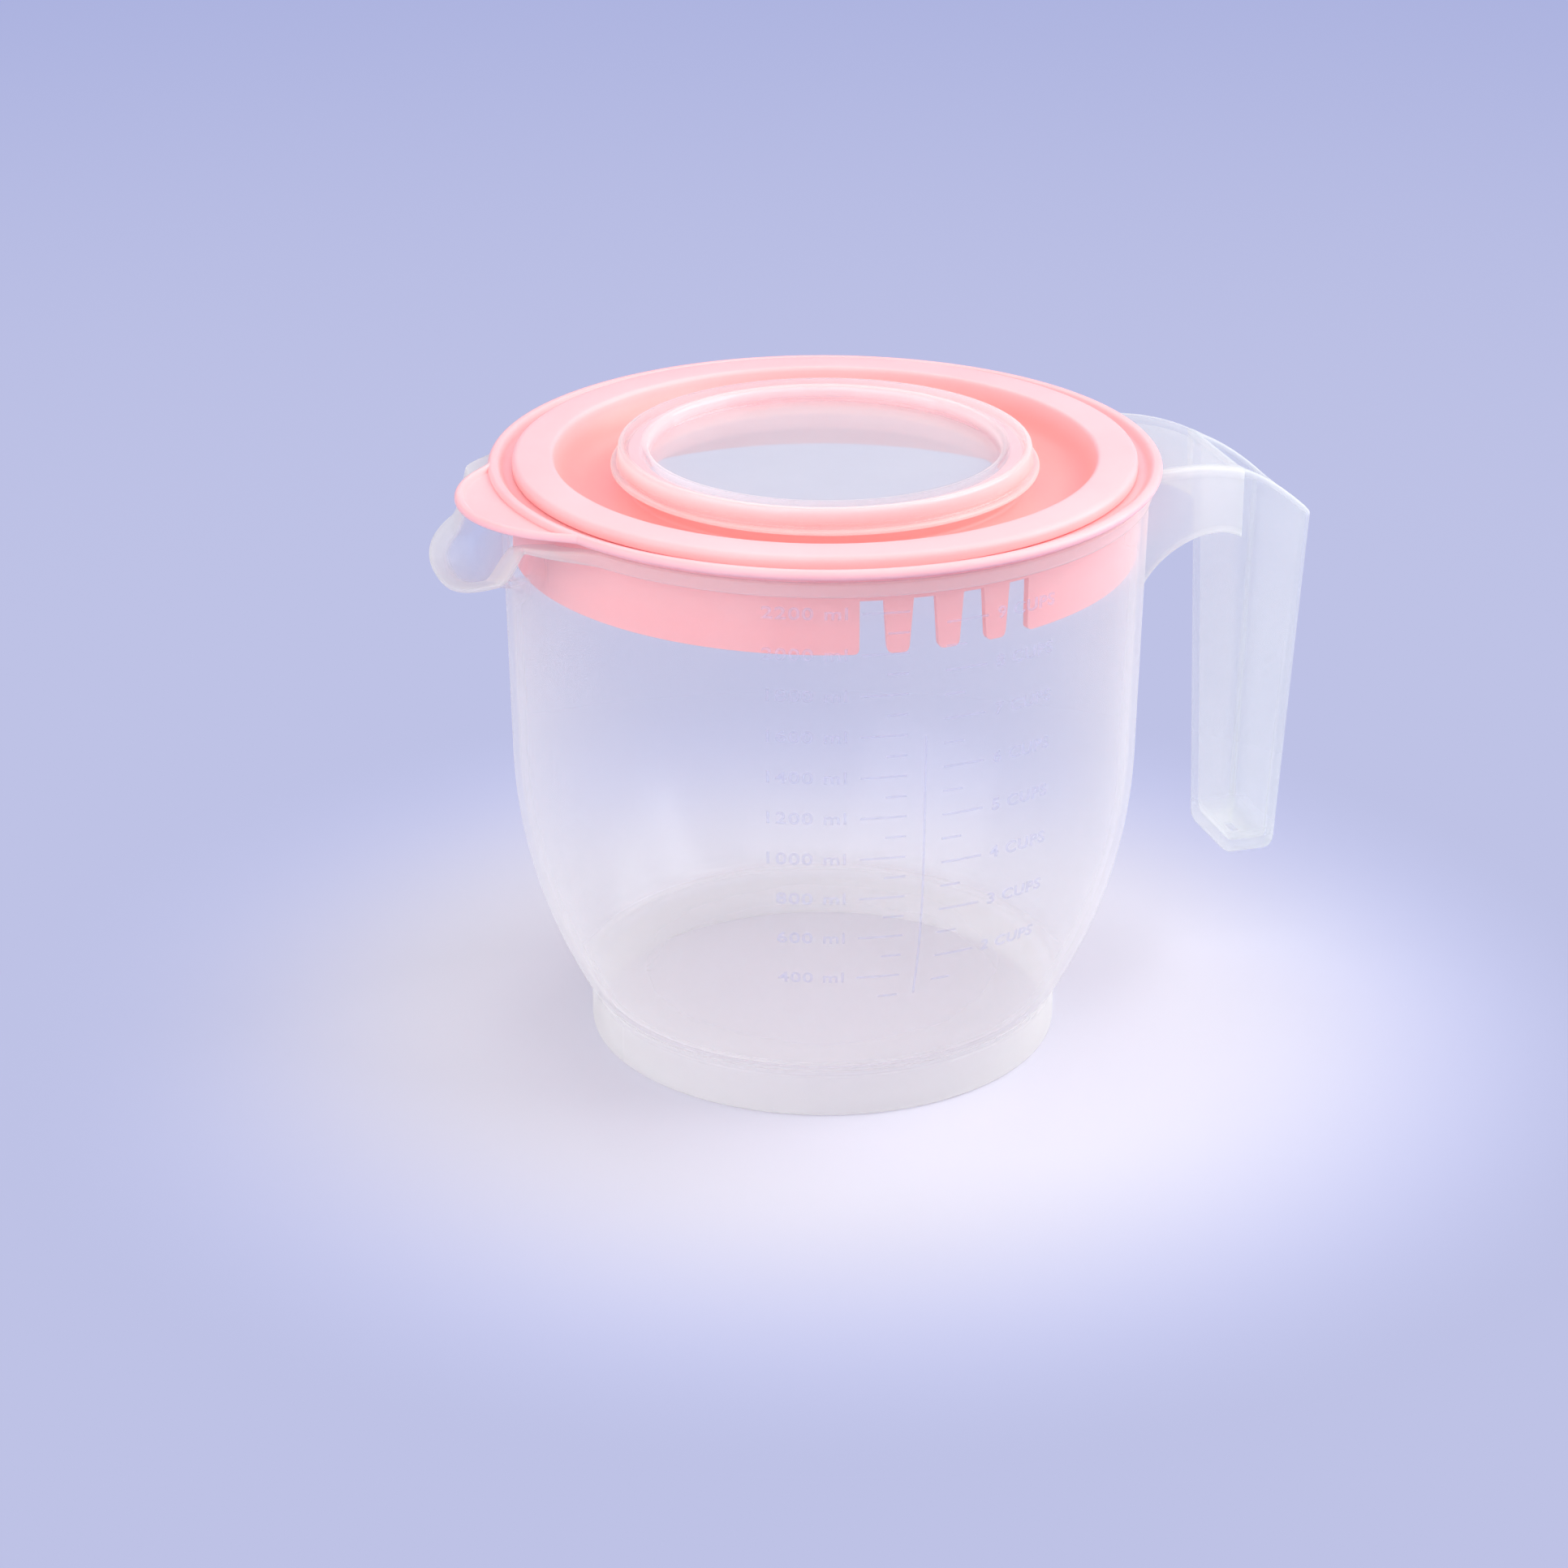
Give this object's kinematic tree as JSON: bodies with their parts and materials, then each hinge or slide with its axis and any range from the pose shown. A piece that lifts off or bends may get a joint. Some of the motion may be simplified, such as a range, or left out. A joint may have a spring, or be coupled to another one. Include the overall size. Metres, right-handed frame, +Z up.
{
  "type": "measuring jug",
  "caption": "Round translucent measuring jug with a pouring lip and a free-ended handle, a splash lid with a strainer comb that turns and lifts off, and a pull-off centre cap.",
  "frame": {"origin": "centre of the foot ring, on the surface that the jug stands on", "axes": "+Z up along the jug's axis, +X from the axis towards the handle, with the spout towards -X"},
  "size_m": [0.2243, 0.166, 0.1562],
  "materials": {
    "jug_plastic": "natural milky translucent polypropylene, moulded smooth",
    "lid_plastic": "opaque pale pink polypropylene, soft gloss",
    "cap_plastic": "translucent soft polyethylene, glossy"
  },
  "bodies": {
    "jug": {"foot_ring": "jug_plastic", "bowl_floor": "jug_plastic", "bowl_belly": "jug_plastic", "bowl_wall": "jug_plastic", "pouring_spout": "jug_plastic", "handle_strap": "jug_plastic", "handle_grip": "jug_plastic"},
    "lid": {"lid_dome": "lid_plastic"},
    "lid_edge": {"lid_flange": "lid_plastic", "skirt_band": "lid_plastic", "lid_skirt": "lid_plastic", "strainer_teeth": "lid_plastic"},
    "cap": {"centre_cap": "cap_plastic"}
  },
  "joints": [
    {"name": "lid_lift", "type": "slide", "parent": "jug", "child": "lid", "axis": [0, 0, 1], "range_m": [0, 0.1]},
    {"name": "lid_turn", "type": "hinge", "parent": "lid", "child": "lid_edge", "pos_m": [0, 0, 0.15], "axis": [0, 0, 1], "continuous": true},
    {"name": "cap_lift", "type": "slide", "parent": "lid", "child": "cap", "axis": [0, 0, 1], "range_m": [0, 0.05]}
  ]
}
